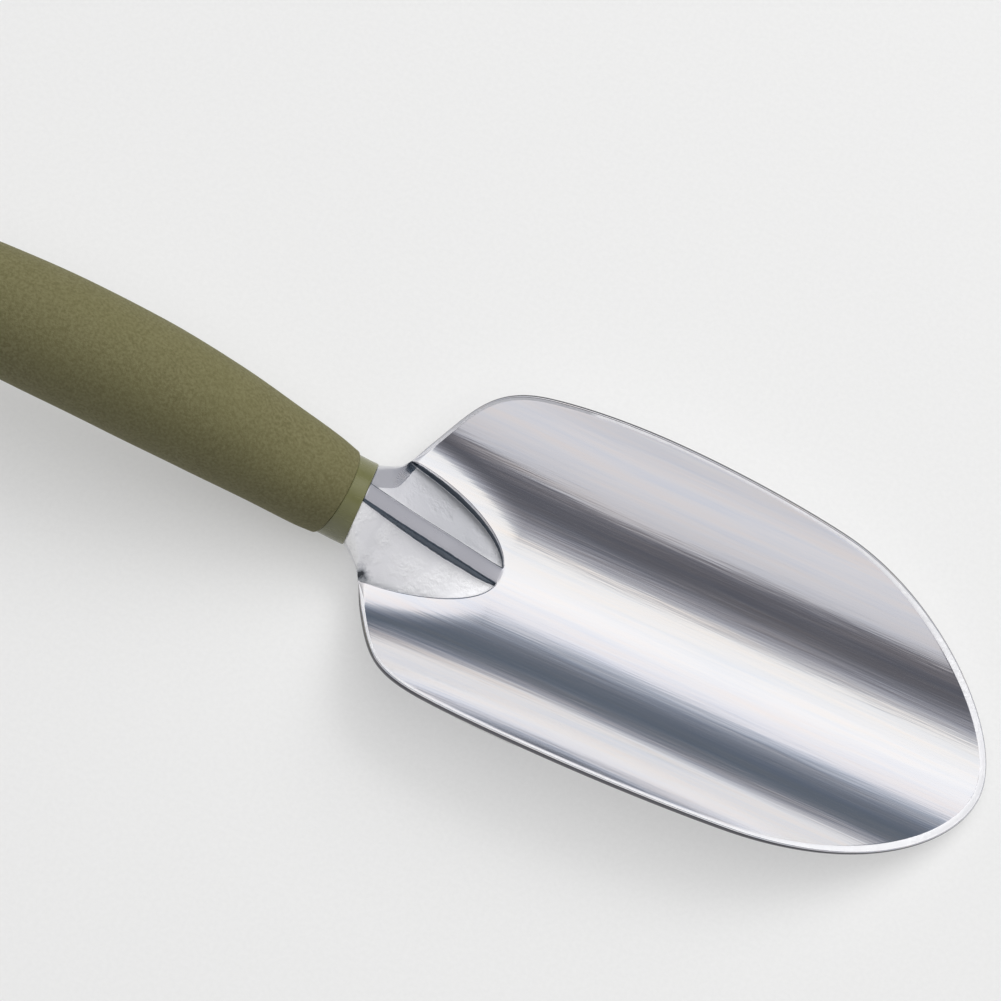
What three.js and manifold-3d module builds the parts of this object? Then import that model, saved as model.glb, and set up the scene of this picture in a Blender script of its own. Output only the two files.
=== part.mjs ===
// Hand trowel: a one-piece cast aluminium scoop with a ribbed neck, set in an
// arched two-component handle (hard olive core with a front collar and a hanging
// eye, and a soft olive grip moulded round it).
//
// Units are millimetres.  +X points from the handle to the blade's tip, +Y to the
// left edge and +Z up, out of the scoop's hollow.  While it is being built, x = 0
// is the collar's front face and z = 0 is the lowest line of the scoop's inside.
import * as THREE from 'three';
import { mergeVertices } from 'three/addons/utils/BufferGeometryUtils.js';
import Module from 'manifold-3d';

const wasm = await Module();
wasm.setup();

// ---------------------------------------------------------------- dimensions
// Blade
const BLADE_LENGTH = 159.8;        // collar face to tip
const TROUGH_RADIUS = 58.2;        // inside radius of the scoop's cross-section
const BLADE_THICKNESS = 2.2;       // along the middle
const RIM_THICKNESS = 1.4;         // at the rim
const TIP_FLAT_SHARE = 0.994;      // share of the outline used; the rest is a small blunt tip
const SHOULDER_DROP = 3;           // how far the shoulders roll down behind the wall's full height
const SHOULDER_DROP_REACH = 60;    // distance from the collar over which they do
const SHOULDER_DROP_WIDTH = 40;    // distance from the centre line at which it is full
const LIP_RISE = 1.4;              // raised lip along the neck pocket
const LIP_OFFSET = 15;             // lip's distance from the centre line
const LIP_SPREAD = 6;              // half-width of the lip's swell

// Half of the blade's outline in plan, as cubic arcs from the neck to the tip
const OUTLINE = [
  [[0, 10.1], [6.3, 13.5], [6.6, 16.8], [9.4, 22.1]],
  [[9.4, 22.1], [14.9, 32.5], [17.3, 37.9], [30.2, 39.7]],
  [[30.2, 39.7], [51.2, 42.6], [85.0, 41.3], [105.5, 38.9]],
  [[105.5, 38.9], [135.1, 35.5], [BLADE_LENGTH, 15.7], [BLADE_LENGTH, 0]],
];

// Neck: a pocket in the blade's root with a sloping floor and a central rib
const POCKET_BACK = 7.1;           // where the pocket's walls meet the blade's back edge
const POCKET_HALF_WIDTH = 16.3;    // at its back
const POCKET_APEX = 36.6;
const POCKET_SIDE_TAPER = 1.1;     // how far the side walls lean in before the apex arc
const POCKET_WALL_REACH = 12;      // handle length of the side arc
const POCKET_APEX_REACH = 9;       // handle length of the apex arc
const NECK_START = 0.3;            // clearance to the collar's face
const NECK_END = 64;               // where the neck's underside has faded into the blade
const NECK_SIDE_MARGIN = 1.6;      // how far the neck runs under the pocket's walls
const NECK_TOE_HALF_WIDTH = 3;     // half-width where the neck fades out under the blade
const NECK_UNDERSIDE = -4.8;       // level with the collar's underside
const NECK_DOME_FADE = 16;         // where the half-round top has opened into two slopes
const NECK_SLOPE_POWER = 1.15;     // 1 is a straight slope, 2 a round one
const NECK_EDGE_INSET = 0.2;       // small steps that keep the neck's edges clear of
const NECK_EDGE_MARGIN = 0.3;      //   the blade's own edges
const NECK_WALL_STEP = 0.05;
const POCKET_BLUNT = 2;            // the pocket ends square where it is this narrow
const POCKET_CUT_BACK = -5;        // extent of the cut that opens the pocket
const POCKET_CUT_MARGIN = 1;
const POCKET_CUT_HEIGHT = 60;
const RIB_HALF_WIDTH = 2.25;
const RIB_END = 38.5;              // where it has sunk into the blade
const RIB_SINK = 2.6;              // how far it sinks
const RIB_SINK_START = 33.6;
const RIB_FOOT = -2;
const RIB_TOP_AT_COLLAR = 15.3;
const RIB_FALL = 0.47;             // fall per mm at the collar
const RIB_FALL_EASE = 0.0022;      // how the fall eases towards the blade
const RIB_HEIGHT = [[0, 0.2], [5, 0.8], [12, 1.9], [23, 3.3], [31, 2.8], [36, 2.2]];
const FLOOR_AT_SIDES = [[0, 5.4], [4, 3.2], [7.6, 0.8], [15, -0.4], [22, -0.9], [36, -1.2]];
const UNDERSIDE = [
  [0, -4.4], [8, NECK_UNDERSIDE], [20, NECK_UNDERSIDE], [32, NECK_UNDERSIDE], [48, -3.7], [64, -1.6],
];

// Handle
const HANDLE_AXIS_HEIGHT = 5.5;    // axis of the collar above the scoop's lowest line
const HANDLE_PATH = [
  [[0, HANDLE_AXIS_HEIGHT], [-6.7, HANDLE_AXIS_HEIGHT], [-12.2, 8.5], [-17.9, 10.5]],
  [[-17.9, 10.5], [-44.5, 20.0], [-64.0, 23.8], [-92.4, 24.7]],
  [[-92.4, 24.7], [-107, 25.15], [-121, 24.3], [-135, 21.5]],
];
const COLLAR_RADIUS = 10.2;
const COLLAR_LENGTH = 6.4;
const COLLAR_CHAMFER = 0.5;
const FIT_GAP = 0.3;               // between pieces that touch
const GRIP_START = COLLAR_LENGTH + FIT_GAP;
const GRIP_END = 121;
const GRIP_WALL = 3.2;
const GRIP_RADII = [               // distance behind the collar's face, radius
  [6.7, 10.4], [12, 11.4], [24, 12.4], [42, 13.7], [62, 14.5], [80, 14.6], [100, 14.1], [121, 13.1],
];
const GRIP_EDGE_ROUND = 1.6;
const THUMB_REST_CENTRE = 24;      // shallow rest on top of the grip
const THUMB_REST_REACH = 13;
const THUMB_REST_DEPTH = 0.9;
const CORE_LEAST_RADIUS = 8.2;     // radius of the core just behind the collar
const TAIL_RADIUS = 12.7;
const TAIL_END = 136;
const TAIL_ROUND = 9;
const TAIL_HALF_THICKNESS = 6.5;   // the hanging eye's flats
const TAIL_FLAT_START = 122.5;
const EYE_RADIUS = 4.5;
const EYE_CENTRE = 128;
const TOOL_SIZE = 40;              // length of the cutters, longer than what they cut

// Tang: the cast spike inside the core, with notches that lock it
const TANG_HALF_WIDTH = 4.6;
const TANG_HALF_HEIGHT = 3.4;
const TANG_ROOT = -2;              // it starts inside the neck
const TANG_END = 78;
const TANG_TAPER = 0.3;            // share of its size lost by the end
const TANG_TAPER_START = 50;
const TANG_NOTCH_DEPTH = 1.1;
const TANG_NOTCHES = [34, 48, 62];
const TANG_NOTCH_HALF_LENGTH = 2.5;
const TANG_NOTCH_SLOPE = 0.6;

// Mesh steps
const BLADE_ROWS = 40;
const BLADE_COLUMNS = 16;
const NECK_COLUMNS = 14;
const RIB_ROWS = 14;
const NECK_ROWS = [
  NECK_START, 1.2, 2.4, 3.6, 4.8, 6, 6.9, POCKET_BACK, 8.6, 10.5, 12.5, 15, 18, 21, 24, 27, 29.5, 31.5, 33,
  34.2, 35.2, 35.9, 36.3, 39, 44, 50, 57, NECK_END,
];
const HANDLE_SIDES = 24;
const HANDLE_STEP = 9;             // spacing of the handle's rings
const CORE_STEP = 12;
const TANG_STEP = 6;
const ROUND_STEPS = 5;
const MERGE_DISTANCE = 1e-4;

// ------------------------------------------------------------------- helpers
const vec2 = ([a, b]) => new THREE.Vector2(a, b);

function curveOfArcs(arcs) {
  const path = new THREE.CurvePath();
  for (const [a, b, c, d] of arcs) {
    path.add(new THREE.CubicBezierCurve(vec2(a), vec2(b), vec2(c), vec2(d)));
  }
  return path;
}

function toSolid(geometry) {
  const bare = geometry.clone();
  bare.deleteAttribute('normal');
  bare.deleteAttribute('uv');
  const merged = mergeVertices(bare, MERGE_DISTANCE);
  return new wasm.Manifold(new wasm.Mesh({
    numProp: 3,
    vertProperties: new Float32Array(merged.attributes.position.array),
    triVerts: new Uint32Array(merged.index.array),
  }));
}

function toGeometry(solid) {
  const mesh = solid.getMesh();
  const geometry = new THREE.BufferGeometry();
  geometry.setAttribute('position', new THREE.BufferAttribute(new Float32Array(mesh.vertProperties), 3));
  geometry.setIndex(new THREE.BufferAttribute(new Uint32Array(mesh.triVerts), 1));
  geometry.computeVertexNormals();
  return geometry;
}

// Moves every vertex of a geometry to the place that `map` gives for it.
function reshaped(geometry, map) {
  const position = geometry.attributes.position;
  for (let i = 0; i < position.count; i += 1) {
    const p = map(position.getX(i), position.getY(i), position.getZ(i));
    position.setXYZ(i, p.x, p.y, p.z);
  }
  return geometry;
}

// A block of rows x columns cells; `map` gets the share along (0..1), the share
// across (-1..1) and whether the vertex is on the block's top.
function mappedBlock(rows, columns, map) {
  const block = new THREE.BoxGeometry(1, 2, 1, rows, columns, 1);
  return reshaped(block, (x, y, z) => map(x + 0.5, y, z > 0));
}

function lerpTable(table, at) {
  if (at <= table[0][0]) return table[0][1];
  for (let i = 1; i < table.length; i += 1) {
    const [x1, y1] = table[i];
    if (at <= x1) {
      const [x0, y0] = table[i - 1];
      return THREE.MathUtils.lerp(y0, y1, (at - x0) / (x1 - x0));
    }
  }
  return table[table.length - 1][1];
}

// Smooth curve through a short table of (position, value) pairs.
function smoothTable(table) {
  const spline = new THREE.SplineCurve(table.map(vec2));
  const samples = spline.getPoints(table.length * 12).map((p) => [p.x, p.y]);
  return (at) => lerpTable(samples, at);
}

// Even steps from start to end, both included.
function stepsBetween(start, end, step) {
  const count = Math.max(1, Math.round((end - start) / step));
  return Array.from({ length: count + 1 }, (_, i) => THREE.MathUtils.lerp(start, end, i / count));
}

// --------------------------------------------------------------------- blade
const outline = curveOfArcs(OUTLINE);
const outlineSamples = outline.getSpacedPoints(400).map((p) => [p.x, p.y]);
const outlineHalfWidth = (x) => lerpTable(outlineSamples, x);

function bladeInside(x, y) {
  const trough = TROUGH_RADIUS - Math.sqrt(TROUGH_RADIUS ** 2 - y ** 2);
  const nearNeck = Math.max(0, 1 - x / SHOULDER_DROP_REACH);
  const drop = SHOULDER_DROP * nearNeck * (y / SHOULDER_DROP_WIDTH) ** 2;
  const besidePocket = Math.max(0, 1 - x / POCKET_APEX);
  const lip = LIP_RISE * besidePocket * Math.exp(-(((Math.abs(y) - LIP_OFFSET) / LIP_SPREAD) ** 2));
  return trough - drop + lip;
}

function bladeThickness(share) {
  return THREE.MathUtils.lerp(BLADE_THICKNESS, RIM_THICKNESS, share ** 4);
}

function bladeSolid() {
  const geometry = mappedBlock(BLADE_ROWS, BLADE_COLUMNS, (along, across, top) => {
    const edge = outline.getPointAt(along * TIP_FLAT_SHARE);
    const y = across * edge.y;
    const z = bladeInside(edge.x, y);
    const depth = top ? 0 : bladeThickness(across);
    const lean = y / TROUGH_RADIUS;
    return new THREE.Vector3(edge.x, y + depth * lean, z - depth * Math.sqrt(1 - lean ** 2));
  });
  return toSolid(geometry);
}

// ---------------------------------------------------------------------- neck
const pocketArc = new THREE.CubicBezierCurve(
  new THREE.Vector2(POCKET_BACK, POCKET_HALF_WIDTH),
  new THREE.Vector2(POCKET_BACK + POCKET_WALL_REACH, POCKET_HALF_WIDTH - POCKET_SIDE_TAPER),
  new THREE.Vector2(POCKET_APEX, POCKET_APEX_REACH),
  new THREE.Vector2(POCKET_APEX, 0),
);
const pocketSamples = pocketArc.getPoints(80).map((p) => [p.x, p.y]);
const pocketHalfWidth = (x) => lerpTable(pocketSamples, x);
const pocketRows = NECK_ROWS.filter((x) => x >= POCKET_BACK && pocketHalfWidth(x) > POCKET_BLUNT);

// The part of the blade that the pocket takes away.
function pocketCutter() {
  const shape = new THREE.Shape();
  shape.moveTo(POCKET_CUT_BACK, -POCKET_HALF_WIDTH - POCKET_CUT_MARGIN);
  for (const x of pocketRows) shape.lineTo(x, -pocketHalfWidth(x));
  for (const x of pocketRows.slice().reverse()) shape.lineTo(x, pocketHalfWidth(x));
  shape.lineTo(POCKET_CUT_BACK, POCKET_HALF_WIDTH + POCKET_CUT_MARGIN);
  shape.closePath();
  const prism = new THREE.ExtrudeGeometry(shape, { depth: POCKET_CUT_HEIGHT, bevelEnabled: false });
  prism.translate(0, 0, -POCKET_CUT_HEIGHT / 2);
  return toSolid(prism);
}

const ribTop = (x) => RIB_TOP_AT_COLLAR - RIB_FALL * x + RIB_FALL_EASE * x ** 2;
const ribHeight = smoothTable(RIB_HEIGHT);
const floorBesideRib = (x) => ribTop(x) - ribHeight(x);
const floorAtSides = smoothTable(FLOOR_AT_SIDES);
const underside = smoothTable(UNDERSIDE);

// Cross-section of the neck's top: a half round at the collar that opens into two
// nearly flat slopes beside the rib.
function neckFloor(x, share) {
  const opened = THREE.MathUtils.smoothstep(x, 0, NECK_DOME_FADE);
  const power = THREE.MathUtils.lerp(2, NECK_SLOPE_POWER, opened);
  const root = THREE.MathUtils.lerp(1 / 2, 1, opened);
  const fall = (1 - Math.abs(share) ** power) ** root;
  const side = floorAtSides(x);
  return side + (Math.max(floorBesideRib(x), side) - side) * fall;
}

const insideBlade = (x, y) => bladeInside(x, y) - BLADE_THICKNESS / 2;

// Half-widths of the neck's section: the pocket's wall, and where the neck's
// underside meets the blade's.
function neckWidths(x) {
  const free = outlineHalfWidth(x);
  if (x < POCKET_BACK) return { wall: free - NECK_EDGE_INSET, outer: free };
  const wall = Math.max(pocketHalfWidth(x), POCKET_BLUNT);
  const faded = THREE.MathUtils.smoothstep(x, POCKET_BACK, NECK_END);
  const outer = THREE.MathUtils.lerp(POCKET_HALF_WIDTH + NECK_SIDE_MARGIN, NECK_TOE_HALF_WIDTH, faded);
  return { wall, outer: Math.min(free - NECK_EDGE_MARGIN, Math.max(outer, wall + 1)) };
}

// The neck is one block whose middle columns are the pocket's floor and whose outer
// two columns rise into the blade's wall.
function neckSolid() {
  const columns = NECK_COLUMNS;
  const geometry = mappedBlock(NECK_ROWS.length - 1, columns, (along, across, top) => {
    const x = NECK_ROWS[Math.round(along * (NECK_ROWS.length - 1))];
    const { wall, outer } = neckWidths(x);
    const step = Math.round(Math.abs(across) * columns / 2);
    const innerSteps = columns / 2 - 2;
    const side = Math.sign(across);
    const share = step <= innerSteps ? Math.sin((step / innerSteps) * Math.PI / 2) : 1;
    let y = share * wall;
    if (step === innerSteps + 1) y = wall + NECK_WALL_STEP;
    if (step === innerSteps + 2) y = outer;
    const open = x < POCKET_BACK || (pocketHalfWidth(x) > POCKET_BLUNT && step <= innerSteps);
    const topZ = open ? neckFloor(x, share) : insideBlade(x, y);
    if (top) return new THREE.Vector3(x, side * y, topZ);
    const edgeZ = (x < POCKET_BACK ? floorAtSides(x) : insideBlade(x, outer)) - NECK_EDGE_INSET;
    const belly = Math.sqrt(Math.max(0, 1 - (y / outer) ** 2));
    return new THREE.Vector3(x, side * y, edgeZ + (underside(x) - edgeZ) * belly);
  });
  return toSolid(geometry);
}

function ribSolid() {
  const geometry = mappedBlock(RIB_ROWS, 1, (along, across, top) => {
    const x = THREE.MathUtils.lerp(NECK_START, RIB_END, along);
    const sink = RIB_SINK * THREE.MathUtils.smoothstep(x, RIB_SINK_START, RIB_END);
    return new THREE.Vector3(x, across * RIB_HALF_WIDTH, top ? ribTop(x) - sink : RIB_FOOT);
  });
  return toSolid(geometry);
}

// -------------------------------------------------------------------- handle
const handlePath = curveOfArcs(HANDLE_PATH);
const handleLength = handlePath.getLength();

// The point at a distance behind the collar's face, measured along the handle's
// axis, moved `up` and `left` in the plane square to the axis.
function onHandle(distance, left, up) {
  const share = THREE.MathUtils.clamp(distance / handleLength, 0, 1);
  const beyond = distance - share * handleLength;
  const p = handlePath.getPointAt(share);
  const t = handlePath.getTangentAt(share);
  return new THREE.Vector3(p.x + beyond * t.x + up * t.y, left, p.y + beyond * t.y - up * t.x);
}

// A turned profile of (radius, distance) points, bent along the handle's axis.
function bentLathe(profile, sides, shape = (distance, radius) => radius) {
  const lathe = new THREE.LatheGeometry(profile.map(vec2), sides);
  return reshaped(lathe, (x, distance, z) => {
    const radius = Math.hypot(x, z);
    const angle = Math.atan2(x, z);
    const r = shape(distance, radius, angle);
    return onHandle(distance, r * Math.sin(angle), r * Math.cos(angle));
  });
}

function notchDepth(distance) {
  const near = TANG_NOTCHES.some((c) => Math.abs(distance - c) < TANG_NOTCH_HALF_LENGTH);
  return near ? TANG_NOTCH_DEPTH : 0;
}

// A bar of rectangular section that follows the handle's axis.
function bentBar(stations, halfWidth, halfHeight) {
  const geometry = mappedBlock(stations.length - 1, 1, (along, across, top) => {
    const distance = stations[Math.round(along * (stations.length - 1))];
    const w = halfWidth(distance);
    return onHandle(distance, across * w, (top ? 1 : -1) * halfHeight(distance));
  });
  return toSolid(flipIfInsideOut(geometry));
}

function signedVolume(geometry) {
  const p = geometry.attributes.position;
  const a = new THREE.Vector3();
  const b = new THREE.Vector3();
  const c = new THREE.Vector3();
  let sum = 0;
  for (let i = 0; i < geometry.index.count; i += 3) {
    a.fromBufferAttribute(p, geometry.index.getX(i));
    b.fromBufferAttribute(p, geometry.index.getX(i + 1));
    c.fromBufferAttribute(p, geometry.index.getX(i + 2));
    sum += a.dot(b.cross(c)) / 6;
  }
  return sum;
}

// Bending runs towards -X, which can turn a mesh inside out; this turns it back.
function flipIfInsideOut(geometry) {
  if (signedVolume(geometry) >= 0) return geometry;
  const index = geometry.index;
  for (let i = 0; i < index.count; i += 3) {
    const first = index.getX(i);
    index.setX(i, index.getX(i + 2));
    index.setX(i + 2, first);
  }
  return geometry;
}

function tangStations() {
  const stations = stepsBetween(TANG_ROOT, TANG_NOTCHES[0] - TANG_STEP, TANG_STEP);
  for (const centre of TANG_NOTCHES) {
    for (const edge of [centre - TANG_NOTCH_HALF_LENGTH, centre + TANG_NOTCH_HALF_LENGTH]) {
      stations.push(edge - TANG_NOTCH_SLOPE, edge + TANG_NOTCH_SLOPE);
    }
  }
  stations.push(TANG_END - TANG_STEP, TANG_END);
  return stations;
}

function tangSolid() {
  const taper = (d) => 1 - TANG_TAPER * THREE.MathUtils.smoothstep(d, TANG_TAPER_START, TANG_END);
  return bentBar(
    tangStations(),
    (d) => TANG_HALF_WIDTH * taper(d) - notchDepth(d),
    (d) => TANG_HALF_HEIGHT * taper(d),
  );
}

// The socket turns where the tang turns, so the gap between them stays even.
function socketSolid() {
  return bentBar(
    [...tangStations(), TANG_END + FIT_GAP],
    () => TANG_HALF_WIDTH + FIT_GAP,
    () => TANG_HALF_HEIGHT + FIT_GAP,
  );
}

const gripRadius = smoothTable(GRIP_RADII);

function roundedEdge(distance, radius, roundness, front) {
  const points = [];
  for (let i = 0; i <= ROUND_STEPS; i += 1) {
    const a = (i / ROUND_STEPS) * Math.PI / 2;
    const r = radius - roundness * (1 - (front ? Math.sin(a) : Math.cos(a)));
    const d = distance + (front ? roundness * (1 - Math.cos(a)) : -roundness * (1 - Math.sin(a)));
    points.push([r, d]);
  }
  return points;
}

const between = (start, end, step) => stepsBetween(start, end, step).slice(1, -1);

const coreRadius = (distance) => Math.max(CORE_LEAST_RADIUS, gripRadius(distance) - GRIP_WALL);

function thumbRest(distance, angle) {
  const along = Math.max(0, 1 - ((distance - THUMB_REST_CENTRE) / THUMB_REST_REACH) ** 2);
  const onTop = Math.max(0, Math.cos(angle)) ** 3;
  return THUMB_REST_DEPTH * along ** 2 * onTop;
}

function gripSolid() {
  const round = GRIP_EDGE_ROUND;
  const outer = [
    ...roundedEdge(GRIP_START, gripRadius(GRIP_START + round), round, true),
    ...between(GRIP_START + round, GRIP_END - round, HANDLE_STEP).map((d) => [gripRadius(d), d]),
    ...roundedEdge(GRIP_END, gripRadius(GRIP_END - round), round, false),
  ];
  const inner = stepsBetween(GRIP_START, GRIP_END, CORE_STEP).reverse()
    .map((d) => [coreRadius(d) + FIT_GAP, d]);
  const profile = [...outer, ...inner, outer[0]];
  const geometry = bentLathe(profile, HANDLE_SIDES, (distance, radius, angle) => {
    const isOuter = radius > coreRadius(distance) + GRIP_WALL / 2;
    return radius - (isOuter ? thumbRest(distance, angle) : 0);
  });
  return toSolid(flipIfInsideOut(geometry));
}

// Puts a cutter made round the origin, with +X towards the collar, at the hanging eye.
function atEye(cutter) {
  const centre = onHandle(EYE_CENTRE, 0, 0);
  const ahead = onHandle(EYE_CENTRE - 1, 0, 0);
  cutter.rotateY(-Math.atan2(ahead.z - centre.z, ahead.x - centre.x));
  cutter.translate(centre.x, 0, centre.z);
  return cutter;
}

// What is cut away above (side = 1) or below (side = -1) the eye's flats.
function tailSlab(side) {
  const slab = new THREE.BoxGeometry(TOOL_SIZE, TOOL_SIZE, TOOL_SIZE);
  const front = EYE_CENTRE - TAIL_FLAT_START;
  slab.translate(front - TOOL_SIZE / 2, 0, side * (TAIL_HALF_THICKNESS + TOOL_SIZE / 2));
  return slab;
}

function eyeDrill() {
  const drill = new THREE.CylinderGeometry(EYE_RADIUS, EYE_RADIUS, TOOL_SIZE, HANDLE_SIDES);
  drill.rotateX(Math.PI / 2);
  return drill;
}

function coreSolid() {
  const seatEnd = GRIP_END + FIT_GAP;
  const profile = [
    [0, 0],
    [COLLAR_RADIUS - COLLAR_CHAMFER, 0],
    [COLLAR_RADIUS, COLLAR_CHAMFER],
    [COLLAR_RADIUS, COLLAR_LENGTH],
    ...stepsBetween(COLLAR_LENGTH, seatEnd, CORE_STEP).map((d) => [coreRadius(d), d]),
    [TAIL_RADIUS, seatEnd],
    ...roundedEdge(TAIL_END, TAIL_RADIUS, TAIL_ROUND, false),
    [0, TAIL_END],
  ];
  let solid = toSolid(flipIfInsideOut(bentLathe(profile, HANDLE_SIDES)));
  for (const cutter of [tailSlab(1), tailSlab(-1), eyeDrill()]) {
    solid = solid.subtract(toSolid(atEye(cutter)));
  }
  return solid.subtract(socketSolid());
}

// ----------------------------------------------------------------- materials
function polishedAluminium() {
  return new THREE.MeshStandardMaterial({ color: 0xc8cace, metalness: 1, roughness: 0.22 });
}

function glossyOlivePlastic() {
  return new THREE.MeshStandardMaterial({ color: 0x76804c, metalness: 0, roughness: 0.25 });
}

function softOliveGrip() {
  return new THREE.MeshStandardMaterial({ color: 0x6f6b48, metalness: 0, roughness: 0.8 });
}

// ------------------------------------------------------------------ assembly
function namedMesh(name, solid, material) {
  const mesh = new THREE.Mesh(toGeometry(solid), material);
  mesh.name = name;
  return mesh;
}

function headSolid() {
  return bladeSolid()
    .subtract(pocketCutter())
    .add(neckSolid())
    .add(ribSolid())
    .add(tangSolid());
}

const trowel = new THREE.Group();
trowel.add(namedMesh('trowel_head', headSolid(), polishedAluminium()));
trowel.add(namedMesh('handle_core', coreSolid(), glossyOlivePlastic()));
trowel.add(namedMesh('grip_sleeve', gripSolid(), softOliveGrip()));

// The origin goes to the middle of the trowel's underside.
const box = new THREE.Box3().setFromObject(trowel);
trowel.position.set(-(box.min.x + box.max.x) / 2, 0, -box.min.z);

export default trowel;
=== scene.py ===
"""Looks of the hand trowel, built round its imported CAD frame.

Shapes are worked out in millimetres from the collar's front face (x = 0) and the lowest line
of the scoop's inside (z = 0), as the CAD part is, and then put where the frame says.
"""
import bisect
import math

import bmesh
import bpy
import numpy as np
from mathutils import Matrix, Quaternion, Vector


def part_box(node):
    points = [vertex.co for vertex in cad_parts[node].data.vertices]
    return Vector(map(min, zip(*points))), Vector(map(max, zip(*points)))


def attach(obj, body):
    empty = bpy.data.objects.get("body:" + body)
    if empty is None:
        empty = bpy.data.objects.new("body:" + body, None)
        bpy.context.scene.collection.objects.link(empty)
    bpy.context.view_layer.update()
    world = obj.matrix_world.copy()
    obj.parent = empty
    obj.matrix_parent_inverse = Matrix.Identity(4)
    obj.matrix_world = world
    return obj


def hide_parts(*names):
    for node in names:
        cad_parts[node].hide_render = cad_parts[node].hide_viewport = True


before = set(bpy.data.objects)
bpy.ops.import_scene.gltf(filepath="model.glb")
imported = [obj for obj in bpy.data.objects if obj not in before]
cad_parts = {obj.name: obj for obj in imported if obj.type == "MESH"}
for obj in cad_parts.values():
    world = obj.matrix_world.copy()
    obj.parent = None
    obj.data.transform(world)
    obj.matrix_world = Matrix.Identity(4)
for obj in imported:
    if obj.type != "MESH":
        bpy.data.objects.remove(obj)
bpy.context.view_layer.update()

MM = 0.001

# ------------------------------------------------------------------ dimensions (millimetres)
BLADE_LENGTH = 159.8
TROUGH_RADIUS = 58.2
BLADE_THICKNESS = 2.2
RIM_THICKNESS = 1.4
RIM_ROUND = 0.45
SHOULDER_DROP = 3.0
SHOULDER_REACH = 60.0
SHOULDER_WIDTH = 40.0
LEDGE_RISE = 1.3
LEDGE_REACH = 6.2
OUTLINE = [
    [(0, 10.0), (6.3, 13.5), (6.6, 16.8), (9.4, 22.1)],
    [(9.4, 22.1), (14.9, 32.5), (17.3, 37.9), (30.2, 39.7)],
    [(30.2, 39.7), (51.2, 42.6), (85, 41.3), (105.5, 38.9)],
    [(105.5, 38.9), (135.1, 35.5), (BLADE_LENGTH, 15.7), (BLADE_LENGTH, 0)],
]
POCKET_APEX = 36.6
POCKET_HALF_WIDTH = 16.3
POCKET_ARC = [(7.1, POCKET_HALF_WIDTH), (19.1, 15.2), (POCKET_APEX, 9.0), (POCKET_APEX, 0)]
POCKET_CORNER = 6.6
POCKET_APEX_ROUND = 6.0
RIB_HALF_WIDTH = 2.25
RIB_BASE = 2.65
RIB_ROUND = 0.45
RIB_SETTLE = (22.0, 36.6)
NECK_BODY_END = 9.0
SWELL_HALF_WIDTH = (17.9, 3.0)
SWELL_SPAN = (7.1, 64)
SWELL_FADE = (52, 64)
# Where the painted dark reflection in the hollow beside the neck sits, and how far it reaches
CORNER_SHADE_PLACE = (6.4, 14.8)
CORNER_SHADE_REACH = (4.2, 2.9)
BEVEL_SPAN = (95.0, 150.0)
BEVEL_WIDTH = (0.5, 1.5)
BEVEL_SLOPE = 0.4
AXIS_HEIGHT = 5.5
HANDLE_PATH = [
    [(0, 5.5), (-6.7, 5.5), (-12.2, 8.5), (-17.9, 10.5)],
    [(-17.9, 10.5), (-44.5, 20.0), (-64.0, 23.8), (-92.4, 24.7)],
    [(-92.4, 24.7), (-107, 25.15), (-121, 24.3), (-135, 21.5)],
]
COLLAR_RADIUS = 10.2
COLLAR_LENGTH = 6.4
GRIP_SPAN = (6.42, 121.0)
GRIP_WALL = 3.2
GRIP_RADII = [
    (6.7, 10.75), (12, 11.5), (24, 12.4), (42, 13.7),
    (62, 14.5), (80, 14.6), (100, 14.1), (121, 13.1),
]
FIT_GAP = 0.3
CORE_LEAST_RADIUS = 8.2
TAIL_RADIUS = 12.7
TAIL_SPAN = (121.3, 136.0)
TAIL_ROUND = 9.0
TAIL_HALF_THICKNESS = 6.5
EYE_RADIUS = 4.5
EYE_CENTRE = 128.0
TANG_HALF = (4.6, 3.4)
TANG_END = 78.0


# ------------------------------------------------------------------------------ small maths
def smoothstep(x, low, high):
    t = min(1.0, max(0.0, (x - low) / (high - low)))
    return t * t * (3 - 2 * t)


def lerp(a, b, t):
    return a + (b - a) * t


def bezier(points, t):
    p = np.array(points, float)
    s = 1 - t
    return s ** 3 * p[0] + 3 * s * s * t * p[1] + 3 * s * t * t * p[2] + t ** 3 * p[3]


class Path:
    """Cubic arcs in a plane, read by distance along them."""

    def __init__(self, arcs, steps=400):
        shares = [i / steps for i in range(steps)]
        points = [bezier(arc, t) for arc in arcs for t in shares] + [bezier(arcs[-1], 1.0)]
        self.points = np.array(points)
        gaps = np.hypot(*np.diff(self.points, axis=0).T)
        self.distance = np.concatenate([[0.0], np.cumsum(gaps)])
        self.length = self.distance[-1]

    def at(self, distance):
        x = np.interp(distance, self.distance, self.points[:, 0])
        y = np.interp(distance, self.distance, self.points[:, 1])
        return np.array([x, y])

    def tangent(self, distance, step=0.4):
        low = max(0.0, distance - step)
        high = min(self.length, distance + step)
        t = self.at(high) - self.at(low)
        return t / np.hypot(*t)

    def distance_at_x(self, x):
        return np.interp(x, self.points[:, 0], self.distance)


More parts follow.
